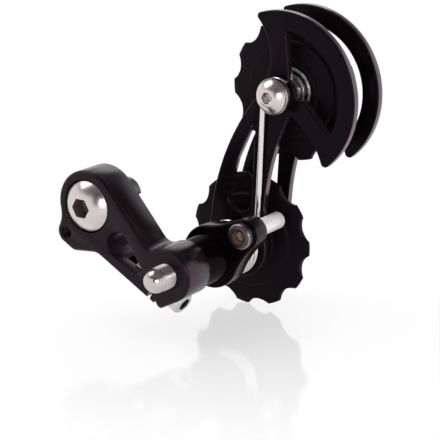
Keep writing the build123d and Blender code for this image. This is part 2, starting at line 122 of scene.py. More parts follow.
def add_node(
    tree: NodeTree,
    kind: str,
    settings: dict[str | int, Any] | None = None,
    links: dict[str | int, Source] | None = None,
) -> Node:
    """Add one node with its settings and links.

    Args:
        tree: The node tree that gets the node.
        kind: The type name of the node.
        settings: Values by the name of a property, and then by the name or number of an input.
        links: What feeds each linked input, by its name or number.

    Returns:
        The new node.
    """
    node = tree.nodes.new(kind)
    for key, value in (settings or {}).items():
        if hasattr(node, str(key)):
            setattr(node, key, value)
        else:
            node.inputs[key].default_value = value
    for key, source in (links or {}).items():
        tree.links.new(source.outputs[0] if isinstance(source, Node) else source, node.inputs[key])
    return node


class Datum(Enum):
    """Joint axes and mounts that place the pieces."""

    SHAFT = "cage_pivot"
    UPPER_WHEEL = "upper_pulley_spin"
    LIMIT_SCREW = "limit_screw_hole"

    def point(self) -> Vector:
        """Point on the joint's axis or in the middle of the mount, in metres."""
        rows = [*frame["joints"], *frame["record"]["mounts"]]
        return Vector(next(row["pos_m"] for row in rows if row["name"] == self.value))


class Wheel(Enum):
    """The two toothed wheels."""

    UPPER = "upper"
    LOWER = "lower"


class Slot(Enum):
    """Material slots of the record, passed along with the new pieces but not given to them."""

    BLACK_ALLOY = "black_alloy"
    GLOSS_ALLOY = "gloss_black_alloy"
    PULLEY_ALLOY = "pulley_alloy"
    POLISHED_STEEL = "polished_steel"
    SPRING_STEEL = "spring_steel"
    DARK_STEEL = "dark_steel"
    PLAIN_STEEL = "plain_steel"
    BEARING_STEEL = "bearing_steel"
    BRONZE = "bush_bronze"


@dataclass(frozen=True)
class Finish:
    """A metal or moulded surface with fine grain and a slow drift of colour.

    Attributes:
        name: What the surface is and how it was made.
        colour: Main colour, sRGB hex.
        drift: Colour that the surface drifts towards, sRGB hex.
        metallic: One for bare metal.
        roughness: Mean roughness.
        roughness_swing: How far the grain moves the roughness.
        specular: Strength of the clear reflection on what isn't bare metal.
        ior: Index of refraction of the clear layer; bare metal keeps the default.
        tint: Colour of that reflection seen straight on, sRGB hex.
        grain_mm: Width of the grain.
        grain_depth_mm: Height of the grain.
        drift_mm: Width of the patches of colour.
        stretch: Stretch of the grain along X, Y and Z.
        ring_mm: Spacing of lathe rings, or zero for none.
        ring_depth_mm: Height of the lathe rings.
        ring_axis: Point on the axis that the rings lie about.
        turned: How far lathe marks draw the reflections out along Y, from zero to one.
    """

    name: str
    colour: str
    drift: str
    metallic: float = 0.0
    roughness: float = 0.4
    roughness_swing: float = 0.08
    specular: float = 0.5
    ior: float = 1.5
    tint: str = WHITE
    grain_mm: float = 0.4
    grain_depth_mm: float = 0.004
    drift_mm: float = 14.0
    stretch: tuple[float, float, float] = (1.0, 1.0, 1.0)
    ring_mm: float = 0.0
    ring_depth_mm: float = 0.002
    ring_axis: tuple[float, float, float] = (0.0, 0.0, 0.0)
    turned: float = 0.0

    def material(self) -> Material:
        """Build the material, or return it if it is there already.

        Returns:
            The material with its node tree.
        """
        known = bpy.data.materials.get(self.name)
        if known:
            return known
        made = bpy.data.materials.new(self.name)
        tree = bare_tree(made)
        place = add_node(tree, "ShaderNodeTexCoord").outputs["Object"]
        grain = self.grain(tree, place)
        smoothest = self.roughness - self.roughness_swing
        roughest = self.roughness + self.roughness_swing
        spread = {"To Min": smoothest, "To Max": roughest}
        relief = {"Strength": 1.0, "Distance": self.grain_depth_mm * MM}
        links = {
            "Base Color": self.drifting_colour(tree, place),
            "Roughness": add_node(tree, "ShaderNodeMapRange", spread, {"Value": grain}),
            "Normal": add_node(tree, "ShaderNodeBump", relief, {"Height": grain}),
        }
        if self.ring_mm:
            links["Normal"] = self.lathe_rings(tree, place, links["Normal"])
        if self.turned:
            links["Tangent"] = self.lathe_axis(tree)
        settings = {
            "Metallic": self.metallic,
            "IOR": self.ior,
            "Specular IOR Level": self.specular,
            "Specular Tint": linear(self.tint),
            "Anisotropic": self.turned,
        }
        shader = add_node(tree, "ShaderNodeBsdfPrincipled", settings, links)
        add_node(tree, "ShaderNodeOutputMaterial", links={"Surface": shader})
        return made

    def drifting_colour(self, tree: NodeTree, place: Source) -> Source:
        """Mix the two colours in slow patches.

        Args:
            tree: The material's node tree.
            place: Object coordinates.

        Returns:
            The colour.
        """
        cloud = {"Scale": 1 / (self.drift_mm * MM), "Detail": 3.0, "Roughness": 0.5}
        patches = add_node(tree, "ShaderNodeTexNoise", cloud, {"Vector": place})
        colours = {"data_type": "RGBA", 6: linear(self.colour), 7: linear(self.drift)}
        return add_node(tree, "ShaderNodeMix", colours, {0: patches}).outputs[2]

    def grain(self, tree: NodeTree, place: Source) -> Source:
        """Fine noise of the blasted, drawn or moulded surface.

        Args:
            tree: The material's node tree.
            place: Object coordinates.

        Returns:
            The noise value.
        """
        scale = [1 / (self.grain_mm * MM * part) for part in self.stretch]
        sized = add_node(tree, "ShaderNodeMapping", {"Scale": scale}, {"Vector": place})
        noise = {"Scale": 1.0, "Detail": 2.0, "Roughness": 0.6}
        return add_node(tree, "ShaderNodeTexNoise", noise, {"Vector": sized})

    def lathe_rings(self, tree: NodeTree, place: Source, normal: Source) -> Source:
        """Add rings about an axis along Y, as a lathe tool leaves them.

        Args:
            tree: The material's node tree.
            place: Object coordinates.
            normal: Normal that the rings are laid on.

        Returns:
            The new normal.
        """
        centre = [-part for part in self.ring_axis]
        moved = add_node(tree, "ShaderNodeMapping", {"Location": centre}, {"Vector": place})
        wave = {
            "wave_type": "RINGS",
            "rings_direction": "Y",
            "Scale": math.tau / (WAVE_RADIANS * self.ring_mm * MM),
            "Distortion": 0.6,
            "Detail": 2.0,
            "Detail Scale": 1.5,
        }
        rings = add_node(tree, "ShaderNodeTexWave", wave, {"Vector": moved}).outputs["Fac"]
        relief = {"Strength": 1.0, "Distance": self.ring_depth_mm * MM}
        return add_node(tree, "ShaderNodeBump", relief, {"Height": rings, "Normal": normal})

    def lathe_axis(self, tree: NodeTree) -> Source:
        """Direction of the lathe axis, which moves with the piece.

        Args:
            tree: The material's node tree.

        Returns:
            The direction in the scene.
        """
        along = add_node(tree, "ShaderNodeCombineXYZ", {"Y": 1.0})
        turn = {"vector_type": "VECTOR", "convert_from": "OBJECT", "convert_to": "WORLD"}
        return add_node(tree, "ShaderNodeVectorTransform", turn, {"Vector": along})


# The real grit, drawing lines and pores are a tenth of a millimetre or finer, too fine to show,
# so the grain of every finish is drawn 0.3 to 0.8 mm wide.

# Dyed oxide layers reflect with a hint of plum.
PLUM = "ffdcf0"
# Bead-blasted aluminium with a dyed oxide layer: nearly black, soft sheen.
BLACK_ANODISED = Finish(
    "black_anodised_alloy", "0d090b", "130c10",
    roughness=0.36, specular=0.2, tint=PLUM, grain_mm=0.5, grain_depth_mm=0.003,
)
# Milled flanks of the same alloy: smoother, so they catch the light along the edges.
MILLED_ANODISED = Finish(
    "black_anodised_milled_flank", "0c080a", "120d0f",
    roughness=0.24, specular=0.6, tint=PLUM, grain_mm=0.5, grain_depth_mm=0.002,
)
# Walls of the arm's pocket: blasted and satin, with a tone paler than the arm that is painted light, standing in
# for the light that reaches into the pocket.
POCKET_LIT_ANODISED = Finish(
    "black_anodised_pocket_wall_painted_light", "120c10", "181115", roughness=0.38, specular=1.0, tint=PLUM, grain_mm=0.5,
)
# Rolled plate with the same dye: flatter and darker than the arm.
PLATE_ANODISED = Finish(
    "black_anodised_plate", "080507", "0c080b",
    roughness=0.3, specular=0.08, tint=PLUM, grain_mm=0.5, grain_depth_mm=0.003,
)
# Rim of the plate: glossier than its faces, with a paler tone that is painted sheen, so that a pale line shows
# along its edges.
PLATE_RIM_SHEEN = Finish(
    "black_anodised_rim_painted_sheen", "191416", "211b1e",
    roughness=0.2, specular=0.9, ior=1.7, tint=PLUM, grain_mm=0.5, grain_depth_mm=0.002,
)
# Aluminium polished before the black dye: deep black; its pale edges are the painted sheen of the flank finish
# below.
GLOSS_ANODISED = Finish(
    "gloss_black_anodised_alloy", "050304", "070406",
    roughness=0.2, specular=0.05, tint=PLUM, grain_depth_mm=0.001,
)
# Flanks of the polished arm: a tone paler than its faces, a painted sheen that stands in for the light along its
# sides, so that its outline shows.
GLOSS_FLANK_SHEEN = Finish(
    "gloss_black_anodised_flank_painted_sheen", "120c10", "181115",
    roughness=0.24, specular=0.3, tint=PLUM, grain_depth_mm=0.001,
)
# Machined wheel with a satin black oxide layer: dark, with hardly any shine.
WHEEL_ANODISED = Finish(
    "satin_black_anodised_wheel", "0b080a", "110c0f", roughness=0.44, specular=0.07, tint=PLUM, grain_mm=0.6,
)
# Shaft turned from stainless bar: fine rings about it draw reflections out along it.
SHAFT_STEEL = Finish(
    "turned_stainless_shaft", "efeae7", "e1dcd9",
    metallic=1.0, roughness=0.46, roughness_swing=0.04, grain_mm=0.35, grain_depth_mm=0.001, turned=1.0,
)
# Polished steel of the shaft's round end: a mirror of the studio.
MIRROR_STEEL = Finish(
    "polished_stainless", "d2ccc9", "c4bebb",
    metallic=1.0, roughness=0.22, roughness_swing=0.03, grain_depth_mm=0.001,
)
# Steel stop post: near-white and mostly diffuse, a painted reflection standing in for the bright lamps the steel
# reflects, so it shows pale against the black wheel.
POST_WHITE_SHEEN = Finish(
    "post_steel_painted_reflection", "fbfaf9", "f2f1f0",
    metallic=0.2, roughness=0.34, grain_mm=0.3, stretch=(1.0, 12.0, 1.0),
)
# Small screw of drawn steel, a tone darker than the shaft.
SCREW_STEEL = Finish(
    "bright_drawn_screw_steel", "d8d4d3", "c8c4c3", metallic=0.85, roughness=0.16, grain_depth_mm=0.002,
)
# Rolled thread: a tone greyer than the turned head.
THREAD_STEEL = Finish(
    "rolled_thread_steel", "cac6c4", "b4b0ae", metallic=0.95, roughness=0.26, grain_depth_mm=0.002,
)
# Drawn spring wire: bright, with lines along the wire.
SPRING_WIRE = Finish(
    "drawn_spring_wire", "e9e6e4", "d6d3d1", metallic=1.0, roughness=0.17, roughness_swing=0.06,
    grain_mm=0.3, grain_depth_mm=0.0015, stretch=(1.0, 1.0, 14.0),
)
# Stainless bolt head: turned, so fine rings lie round its axis, drawn coarse enough to show.
BOLT_STEEL = Finish(
    "turned_stainless", "dcd4d0", "cdc5c1", metallic=1.0, roughness=0.26, roughness_swing=0.05,
    grain_depth_mm=0.002, ring_mm=0.45, ring_depth_mm=0.0012,
)
# Walls of a socket and of the line turned round a head: dull, and darker than the head as painted shade in the
# recess.
SOCKET_SHADE_STEEL = Finish(
    "socket_steel_painted_shade", "7d706b", "6a5f5b",
    metallic=0.7, roughness=0.38, grain_mm=0.3, grain_depth_mm=0.006,
)
# Socket of the small screw: almost black, painted shade for the shade inside it.
SOCKET_DEEP_SHADE = Finish(
    "socket_steel_deep_painted_shade", "352f30", "282324",
    metallic=0.6, roughness=0.4, grain_mm=0.3, grain_depth_mm=0.006,
)
# Socket of the dark bolt: a pale warm tone, painted glints that stand in for the warm light caught inside it.
SOCKET_WARM_GLINT = Finish(
    "socket_steel_painted_glints", "a48a74", "8a7260",
    metallic=0.7, roughness=0.34, grain_mm=0.3, grain_depth_mm=0.006,
)
# Steel blackened in hot oxide: dark, a little warm, with a worn sheen.
BLACKENED_STEEL = Finish(
    "blackened_steel", "50474a", "5f5557", metallic=0.9, roughness=0.34, roughness_swing=0.06, grain_mm=0.5,
)
# Rim of the dark bolt: a bright steel tone painted all round as a painted highlight, standing in for the pale line
# of light along its edge.
RIM_PAINTED_HIGHLIGHT = Finish(
    "bolt_rim_painted_highlight", "b9b0b0", "8d8485", metallic=1.0, roughness=0.28, grain_mm=0.6, grain_depth_mm=0.003,
)
# Turned steel rings and washers: mid grey and softly bright.
TURNED_STEEL = Finish(
    "turned_plain_steel", "b9b6b4", "a8a5a4", metallic=1.0, roughness=0.32, grain_depth_mm=0.003,
)
# Ground bearing steel: bright, with grinding rings drawn coarser than they are so that they show.
BEARING_STEEL = Finish(
    "ground_bearing_steel", "f4f2f2", "e8e6e7",
    metallic=0.75, roughness=0.2, grain_depth_mm=0.001, ring_mm=0.6, ring_depth_mm=0.03,
)
# Moulded black seal of the bearing: glossy, with low ribs round its lip.
SEAL_RUBBER = Finish(
    "moulded_black_seal", "0d0c0e", "141215",
    roughness=0.26, specular=0.6, grain_mm=0.7, ring_mm=0.5, ring_depth_mm=0.03,
)
# Pressed and sintered bronze: warm, porous.
BRONZE = Finish(
    "sintered_bronze", "8f6b3d", "735330", metallic=1.0, roughness=0.42, grain_mm=0.45, grain_depth_mm=0.012,
)
# Black nylon sleeve inside the coil: dull and even.
NYLON = Finish("black_nylon", "121112", "1a1819", roughness=0.48, specular=0.3, grain_mm=0.8)


def turned_about(finish: Finish, name: str, axis: Vector) -> Finish:
    """Centre a finish's lathe rings on an axis.

    Args:
        finish: The finish.
        name: Which piece it is for.
        axis: Point on the piece's axis.

    Returns:
        The finish under a name of its own.
    """
    return replace(finish, name=f"{finish.name}_{name}", ring_axis=tuple(axis))


def dress(piece: Object, finish: Finish) -> None:
    """Give a piece one finish all over."""
    piece.data.materials.clear()
    piece.data.materials.append(finish.material())


def dress_faces(piece: Object, finish: Finish, wanted: Callable[[MeshPolygon], bool]) -> None:
    """Give some faces of a dressed piece another finish.

    Args:
        piece: The piece.
        finish: The other finish.
        wanted: Says whether a face gets it.
    """
    index = len(piece.data.materials)
    piece.data.materials.append(finish.material())
    for face in piece.data.polygons:
        if wanted(face):
            face.material_index = index


def aim(direction: Vector) -> Euler:
    """Turn of a lamp or a camera that looks in a direction."""
    return direction.to_track_quat("-Z", "Y").to_euler()


def heading(angle: float) -> Vector:
    """Direction at an angle in X and Z."""
    return Vector((math.cos(angle), 0, math.sin(angle)))


def along_y(axis: Vector, place_mm: float) -> Vector:
    """Point on an axis along Y, at a place in millimetres."""
    return Vector((axis.x, place_mm * MM, axis.z))


def off_axis(place: Vector, axis: Vector) -> float:
    """Distance of a place from an axis along Y."""
    return math.hypot(place.x - axis.x, place.z - axis.z)


def select_only(piece: Object) -> None:
    """Make one object active and the only one selected.

    Args:
        piece: The object.
    """
    bpy.ops.object.select_all(action="DESELECT")
    bpy.context.view_layer.objects.active = piece
    piece.select_set(True)


@contextmanager
def editing(piece: Object, wanted: Callable[[Vector], bool] | None = None) -> Iterator[None]:
    """Stay in edit mode on one object, with vertices selected by their places.

    Args:
        piece: The object, in object mode.
        wanted: Says whether the vertex at a place is selected; without it, all are.

    Yields:
        Nothing, while the object is in edit mode.
    """
    select_only(piece)
    bpy.ops.object.mode_set(mode="EDIT")
    bpy.ops.mesh.select_mode(type="VERT")
    bpy.ops.mesh.select_all(action="DESELECT" if wanted else "SELECT")
    if wanted:
        bpy.ops.object.mode_set(mode="OBJECT")
        for vertex in piece.data.vertices:
            vertex.select = wanted(vertex.co)
        bpy.ops.object.mode_set(mode="EDIT")
    yield
    bpy.ops.object.mode_set(mode="OBJECT")


def settle() -> None:
    """Move the active object's place, turn and scale into its mesh."""
    bpy.ops.object.transform_apply(location=True, rotation=True, scale=True)


def smooth(sharp_deg: float) -> None:
    """Shade the active object smooth, apart from edges sharper than an angle."""
    bpy.ops.object.shade_smooth_by_angle(angle=math.radians(sharp_deg))


def wind(piece: Object, angle: float, rise: float, steps: int, turns: int = 1) -> None:
    """Wind an open section about the Y axis through the origin.

    Args:
        piece: The section.
        angle: Turn of one winding, right-handed about +Y.
        rise: Rise of one winding.
        steps: Facets in one winding.
        turns: Number of windings.
    """
    select_only(piece)
    screw = piece.modifiers.new("winding", "SCREW")
    screw.axis = "Y"
    screw.angle = angle
    screw.screw_offset = rise
    screw.steps = steps
    screw.render_steps = steps
    screw.iterations = turns
    bpy.ops.object.modifier_apply(modifier=screw.name)


@dataclass(frozen=True)
class Thread:
    """Helical ridge about an axis along Y.

    Attributes:
        name: Name of the ridge.
        base_mm: Radius at the foot of the ridge.
        crest_mm: Radius at its crest.
        pitch_mm: Rise of one turn.
        turns: Number of whole turns.
        start_mm: Where the ridge starts along Y.
        foot: Width of the foot as a share of the pitch.
        flat: Width of the crest as a share of the foot.
        steps: Facets in one turn.
        sharp_deg: Angle from which an edge counts as sharp.
    """

    name: str
    base_mm: float
    crest_mm: float
    pitch_mm: float
    turns: int
    start_mm: float
    foot: float = 0.94
    flat: float = 0.2
    steps: int = 36
    sharp_deg: float = 30.0

    def build(self, axis: Vector) -> Object:
        """Wind the ridge.

        Args:
            axis: Point on the axis.

        Returns:
            The new piece.
        """
        middle = (self.base_mm + self.crest_mm) / 2 * MM
        bpy.ops.object.select_all(action="DESELECT")
        bpy.ops.mesh.primitive_plane_add(size=MM, location=(middle, 0, 0))
        piece = bpy.context.object
        piece.name = self.name
        piece.scale = (abs(self.crest_mm - self.base_mm), self.pitch_mm * self.foot, 1.0)
        settle()
        towards_crest = math.copysign(1, self.crest_mm - self.base_mm)
        with editing(piece, lambda place: (place.x - middle) * towards_crest > 0):
            bpy.ops.transform.resize(value=(1.0, self.flat, 1.0))
            bpy.ops.mesh.select_all(action="SELECT")
            bpy.ops.mesh.delete(type="ONLY_FACE")
        wind(piece, math.tau, self.pitch_mm * MM, self.steps, self.turns)
        with editing(piece):
            bpy.ops.mesh.remove_doubles(threshold=WELD)
            bpy.ops.mesh.fill_holes(sides=4)
            bpy.ops.mesh.normals_make_consistent(inside=False)
        piece.location = along_y(axis, self.start_mm + self.pitch_mm / 2)
        settle()
        smooth(self.sharp_deg)
        return piece


@dataclass(frozen=True)
class Socket:
    """Hexagon socket in the head of a bolt.

    Attributes:
        mouth: Middle of its mouth.
        outward: Direction that it opens in.
        radius_mm: Radius that it lies within.
        lip_mm: Depth from which a face counts as the socket's.
        depth: Its greatest depth, in radii.
    """

    mouth: Vector
    outward: Vector
    radius_mm: float
    lip_mm: float = 0.1
    depth: float = 2.0

    def holds(self, face: MeshPolygon) -> bool:
        """Say whether a face is one of the socket's walls or its floor.

        Args:
            face: A face of the bolt.

        Returns:
            True inside the socket.
        """
        inside = self.mouth - face.center
        depth = inside.dot(self.outward)
        away = (inside - self.outward * depth).length
        radius = self.radius_mm * MM
        return away < radius and self.lip_mm * MM < depth < self.depth * radius


@dataclass
class SubAssembly:
    """Pieces that ride together on one body of the mechanism.

    Attributes:
        body: Name of the body.
        edge_mm: Width of the broken edges.
        edge_segments: Facets across a broken edge.
        sharp_deg: Angle from which an edge counts as sharp.
        flat_deg: Angle within which neighbouring facets count as one flat face.
        flank_limit: Share of Y in the normal below which a face counts as a flank.
        pieces: Names of the pieces made or dressed so far.
    """

    body: str
    edge_mm: float = 0.16
    edge_segments: int = 2
    sharp_deg: float = 32.0
    flat_deg: float = 0.5
    flank_limit: float = 0.5
    pieces: list[str] = field(default_factory=list)

    def softened(self, node: str, finish: Finish, slot: Slot, edge_mm: float | None = None) -> Object:
        """Stand a copy with broken edges in the place of a solid.

        Args:
            node: The solid.
            finish: Its surface.
            slot: The record's slot for it.
            edge_mm: Width of the broken edges, if not the assembly's own.

        Returns:
            The new piece.
        """
        piece = bpy.data.objects.new(f"{node}_finished", frame["nodes"][node].data.copy())
        bpy.context.scene.collection.objects.link(piece)
        select_only(piece)
        bpy.ops.mesh.customdata_custom_splitnormals_clear()
        with editing(piece):
            bpy.ops.mesh.remove_doubles(threshold=WELD)
            bpy.ops.mesh.dissolve_limited(angle_limit=math.radians(self.flat_deg))
        self.break_edges(piece, edge_mm or self.edge_mm)
        with editing(piece):
            bpy.ops.mesh.remove_doubles(threshold=WELD)
        smooth(self.sharp_deg)
        dress(piece, finish)
        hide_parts(node)
        self.carry(piece, slot)
        return piece

    def break_edges(self, piece: Object, width_mm: float) -> None:
        """Bevel the sharp edges of the active piece.

        Args:
            piece: The piece.
            width_mm: Width of the bevel.
        """
        edge = piece.modifiers.new("broken_edge", "BEVEL")
        edge.width = width_mm * MM
        edge.segments = self.edge_segments
        edge.limit_method = "ANGLE"
        edge.angle_limit = math.radians(self.sharp_deg)
        bpy.ops.object.modifier_apply(modifier=edge.name)

    def carry(self, piece: Object, slot: Slot) -> None:
        """Let a piece ride on the body and add it to the assembly's pieces.

        Args:
            piece: The piece.
            slot: The record's slot for it; not used.
        """
        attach(piece, self.body)
        self.pieces.append(piece.name)

    def finished(self, node: str, finish: Finish) -> None:
        """Give a solid that stays as it is a finish."""
        dress(frame["nodes"][node], finish)
        self.pieces.append(node)

    def is_flank(self, face: MeshPolygon) -> bool:
        """Say whether a face looks away from Y."""
        return abs(face.normal.y) < self.flank_limit


@dataclass(frozen=True)
class Softbox:
    """Square lamp.

    Attributes:
        name: Name of the lamp.
        place: Where it stands.
        width: Its width in metres.
        power: Its power in watts.
        mirrored: Whether shiny pieces show the lamp.
    """

    name: str
    place: tuple[float, float, float]
    width: float
    power: float
    mirrored: bool = True

    def hang(self, target: Vector) -> None:
        """Hang the lamp so that it faces a place.

        Args:
            target: The place.
        """
        data = bpy.data.lights.new(self.name, "AREA")
        data.size = self.width
        data.energy = self.power
        lamp = bpy.data.objects.new(self.name, data)
        lamp.visible_glossy = self.mirrored
        bpy.context.scene.collection.objects.link(lamp)
        lamp.location = self.place
        lamp.rotation_euler = aim(target - Vector(self.place))


@dataclass
class Studio:
    """White sweep, soft light and the camera.

    Attributes:
        floor_gap: How far the floor lies below the part.
        floor_size: Width of the floor.
        sheet_white: The sheet's white as it lights the part, sRGB hex.
        sheet_shade: Share of its white that shadows fall on, sRGB hex.
        sheet_glow: Share of its white that shadows leave alone.
        sheet_roughness: Roughness of its clear gloss.
        sheet_ior: Index of refraction of that gloss.
        white_start: Distance from the lower wheel where the floor starts to turn plain white.
        white_end: Distance where it is plain white.
        wall_top_deg: Height up to which the walls are white.
        ceiling_deg: Height from which the ceiling is grey.
        ceiling_light: Strength of the grey ceiling.
        dark_edge_deg: Angle from the camera's back where the dark room starts.
        dark_core_deg: Angle from the camera's back within which it is darkest.
        dark_light: Strength of the dark room.
        softboxes: Lamps overhead, high on the left, beside the camera and behind.
        camera_place: Where the camera stands.
        azimuth_deg: Turn of the view from the +Y direction.
        elevation_deg: Height of the view above the horizon.
        lens_mm: Focal length of the lens.
        sensor_mm: Width of the sensor.
        near_clip: Distance from which the camera sees.
    """

    floor_gap: float = 0.0003
    floor_size: float = 6.0
    sheet_white: str = "fafafa"
    sheet_shade: str = "898989"
    sheet_glow: float = 0.6
    sheet_roughness: float = 0.1
    sheet_ior: float = 1.9
    white_start: float = 0.03
    white_end: float = 0.13
    wall_top_deg: float = 20.0
    ceiling_deg: float = 33.0
    ceiling_light: float = 0.16
    dark_edge_deg: float = 32.0
    dark_core_deg: float = 18.0
    dark_light: float = 0.06
    softboxes: tuple[Softbox, ...] = (
        Softbox("overhead_fill", (0.05, 0.1, 1.0), width=1.8, power=10.5, mirrored=False),
        Softbox("left_softbox", (-0.5, -0.2, 0.72), width=0.55, power=2.4),
        Softbox("front_softbox", (0.62, -0.62, 0.16), width=0.2, power=2.0),
        Softbox("rear_softbox", (-0.42, 0.83, 0.58), width=0.34, power=0.36),
    )
    camera_place: tuple[float, float, float] = (0.3027, -0.3685, 0.1389)
    azimuth_deg: float = 35.18
    elevation_deg: float = 17.14
    lens_mm: float = 124.55
    sensor_mm: float = 36.0
    near_clip: float = 0.01

    def build(self) -> None:
        """Make the stage in order."""
        self.floor()
        self.world()
        middle = (cad_bounds[0] + cad_bounds[1]) / 2
        for softbox in self.softboxes:
            softbox.hang(middle)
        self.camera()

    def floor(self) -> None:
        """Lay the white sheet, with its middle under the lower wheel."""
        low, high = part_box("lower_pulley")
        under = (low + high) / 2
        under.z = cad_bounds[0].z - self.floor_gap
        bpy.ops.object.select_all(action="DESELECT")
        bpy.ops.mesh.primitive_plane_add(size=self.floor_size, location=under)
        sheet = bpy.context.object
        sheet.name = "white_sheet"
        sheet.data.materials.append(self.sheet_material())

    def sheet_material(self) -> Material:
        """White gloss sheet: it keeps the shadow, fades to plain white and is clear from below.

        Returns:
            The material with its node tree.
        """
        made = bpy.data.materials.new("white_gloss_sheet")
        tree = bare_tree(made)
        seen = self.seen_ray(tree)
        lit = add_node(tree, "ShaderNodeBsdfDiffuse", {"Color": linear(self.sheet_white)})
        shade = linear(self.sheet_shade)
        coat = {"Base Color": shade, "Roughness": self.sheet_roughness, "IOR": self.sheet_ior}
        gloss = add_node(tree, "ShaderNodeBsdfPrincipled", coat)
        glow = self.plain_white(tree, self.sheet_glow)
        shown = add_node(tree, "ShaderNodeAddShader", links={0: gloss, 1: glow})
        near = add_node(tree, "ShaderNodeMixShader", links={0: seen, 1: lit, 2: shown})
        place = add_node(tree, "ShaderNodeTexCoord").outputs["Object"]
        away = add_node(tree, "ShaderNodeVectorMath", {"operation": "LENGTH"}, {0: place}).outputs["Value"]
        fade = {"interpolation_type": "SMOOTHSTEP", "From Min": self.white_start, "From Max": self.white_end}
        far = add_node(tree, "ShaderNodeMapRange", fade, {"Value": away})
        share = add_node(tree, "ShaderNodeMath", {"operation": "MULTIPLY"}, {0: far, 1: seen})
        white = self.plain_white(tree, 1.0)
        top = add_node(tree, "ShaderNodeMixShader", links={0: share, 1: near, 2: white})
        clear = add_node(tree, "ShaderNodeBsdfTransparent")
        from_below = add_node(tree, "ShaderNodeNewGeometry").outputs["Backfacing"]
        surface = add_node(tree, "ShaderNodeMixShader", links={0: from_below, 1: top, 2: clear})
        add_node(tree, "ShaderNodeOutputMaterial", links={"Surface": surface})
        return made

    def plain_white(self, tree: NodeTree, strength: float) -> Source:
        """White that shadows leave alone; the camera looks through it, so it hides nothing that swings low.

        Args:
            tree: The node tree.
            strength: Share of white.

        Returns:
            The shader.
        """
        white = add_node(tree, "ShaderNodeEmission", {"Strength": strength})
        clear = add_node(tree, "ShaderNodeBsdfTransparent", {"Color": (strength, strength, strength, 1.0)})
        camera_ray = add_node(tree, "ShaderNodeLightPath").outputs["Is Camera Ray"]
        return add_node(tree, "ShaderNodeMixShader", links={0: camera_ray, 1: white, 2: clear})

    def seen_ray(self, tree: NodeTree) -> Source:
        """One for rays from the camera and for what metal and glass show, else zero.

        Args:
            tree: The node tree.

        Returns:
            The value.
        """
        rays = add_node(tree, "ShaderNodeLightPath").outputs
        seen: Source = rays["Is Camera Ray"]
        for kind in ("Is Glossy Ray", "Is Transmission Ray"):
            seen = add_node(tree, "ShaderNodeMath", {"operation": "MAXIMUM"}, {0: seen, 1: rays[kind]})
        return seen

    def world(self) -> None:
        """White walls, a grey ceiling and a dark room behind the camera; the camera sees plain white."""
        world = bpy.data.worlds.new("white_studio")
        bpy.context.scene.world = world
        tree = bare_tree(world)
        direction = add_node(tree, "ShaderNodeTexCoord").outputs["Generated"]
        height = add_node(tree, "ShaderNodeSeparateXYZ", links={"Vector": direction}).outputs["Z"]
        backwards = {"operation": "DOT_PRODUCT", 1: -self.ahead()}
        facing = add_node(tree, "ShaderNodeVectorMath", backwards, {0: direction}).outputs["Value"]
        dark_edge = math.cos(math.radians(self.dark_edge_deg))
        dark_core = math.cos(math.radians(self.dark_core_deg))
        wall_top = math.sin(math.radians(self.wall_top_deg))
        ceiling = math.sin(math.radians(self.ceiling_deg))
        parts = []
        for value, start, end, least in (
            (height, wall_top, ceiling, self.ceiling_light),
            (facing, dark_edge, dark_core, self.dark_light),
        ):
            fade = {"interpolation_type": "SMOOTHSTEP", "From Min": start, "From Max": end}
            fade |= {"To Min": 1.0, "To Max": least}
            parts.append(add_node(tree, "ShaderNodeMapRange", fade, {"Value": value}))
        light = add_node(tree, "ShaderNodeMath", {"operation": "MULTIPLY"}, dict(enumerate(parts)))
        camera_ray = add_node(tree, "ShaderNodeLightPath").outputs["Is Camera Ray"]
        strength = add_node(tree, "ShaderNodeMath", {"operation": "MAXIMUM"}, {0: light, 1: camera_ray})
        sky = add_node(tree, "ShaderNodeBackground", {"Color": linear(WHITE)}, {"Strength": strength})
        add_node(tree, "ShaderNodeOutputWorld", links={"Surface": sky})

    def camera(self) -> None:
        """Camera at the photo's place and angle."""
        data = bpy.data.cameras.new("camera")
        data.lens = self.lens_mm
        data.sensor_width = self.sensor_mm
        data.clip_start = self.near_clip
        made = bpy.data.objects.new("camera", data)
        bpy.context.scene.collection.objects.link(made)
        made.location = self.camera_place
        made.rotation_euler = aim(self.ahead())
        bpy.context.scene.camera = made

    def ahead(self) -> Vector:
        """Direction that the camera looks in.

        Returns:
            A direction of length one.
        """
        turn = math.radians(self.azimuth_deg)
        rise = math.radians(self.elevation_deg)
        return Vector((-math.sin(turn) * math.cos(rise), math.cos(turn) * math.cos(rise), -math.sin(rise)))


@dataclass(frozen=True)
class PocketEnd:
    """Round end of the arm's pocket.

    Attributes:
        along_mm: Place along the arm, from the shaft.
        across_mm: Place across the arm, from its middle line.
        radius_mm: Radius of the end.
    """

    along_mm: float
    across_mm: float
    radius_mm: float

    def middle(self) -> Vector:
        """Middle of the end, along and across the arm, in millimetres."""
        return Vector((self.along_mm, self.across_mm))


